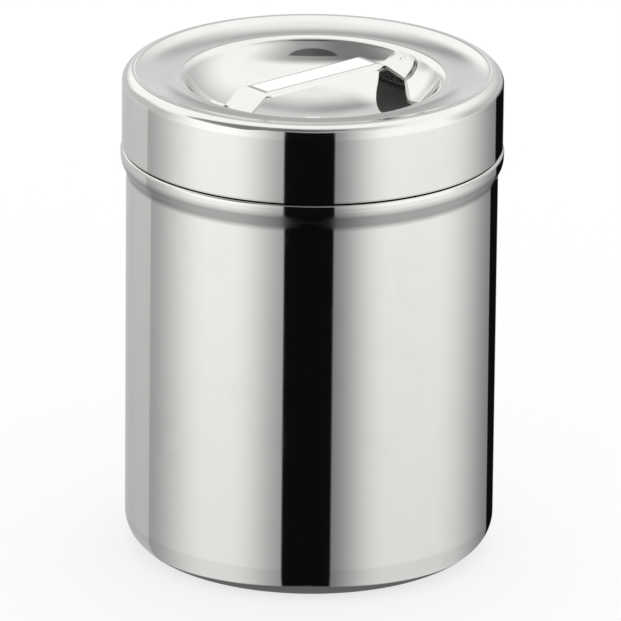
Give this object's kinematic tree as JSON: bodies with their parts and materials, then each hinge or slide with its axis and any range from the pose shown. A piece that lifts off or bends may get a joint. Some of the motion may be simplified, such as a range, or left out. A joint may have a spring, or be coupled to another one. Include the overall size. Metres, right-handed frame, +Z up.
{
  "type": "dressing jar",
  "caption": "Round stainless steel dressing jar for clinic supplies, with a lift-off cover that has a recessed centre and a flush strap handle.",
  "frame": {"origin": "centre of the circle that the jar stands on, at the underside", "axes": "+Z up along the jar's axis, +X along the strap handle, +Y across it"},
  "size_m": [0.1308, 0.1308, 0.1703],
  "materials": {
    "jar_steel": "polished stainless steel with a fine spun grain",
    "lid_steel": "polished stainless steel",
    "handle_steel": "polished stainless steel, lightly worn along the bridge",
    "weld_steel": "dull fused steel of a spot weld"
  },
  "bodies": {
    "jar": {"jar_body": "jar_steel"},
    "lid": {"lid_shell": "lid_steel", "strap_handle": "handle_steel", "handle_welds": "weld_steel"}
  },
  "joints": [
    {"name": "lid_lift", "type": "slide", "parent": "jar", "child": "lid", "axis": [0, 0, 1], "range_m": [0, 0.15]}
  ]
}
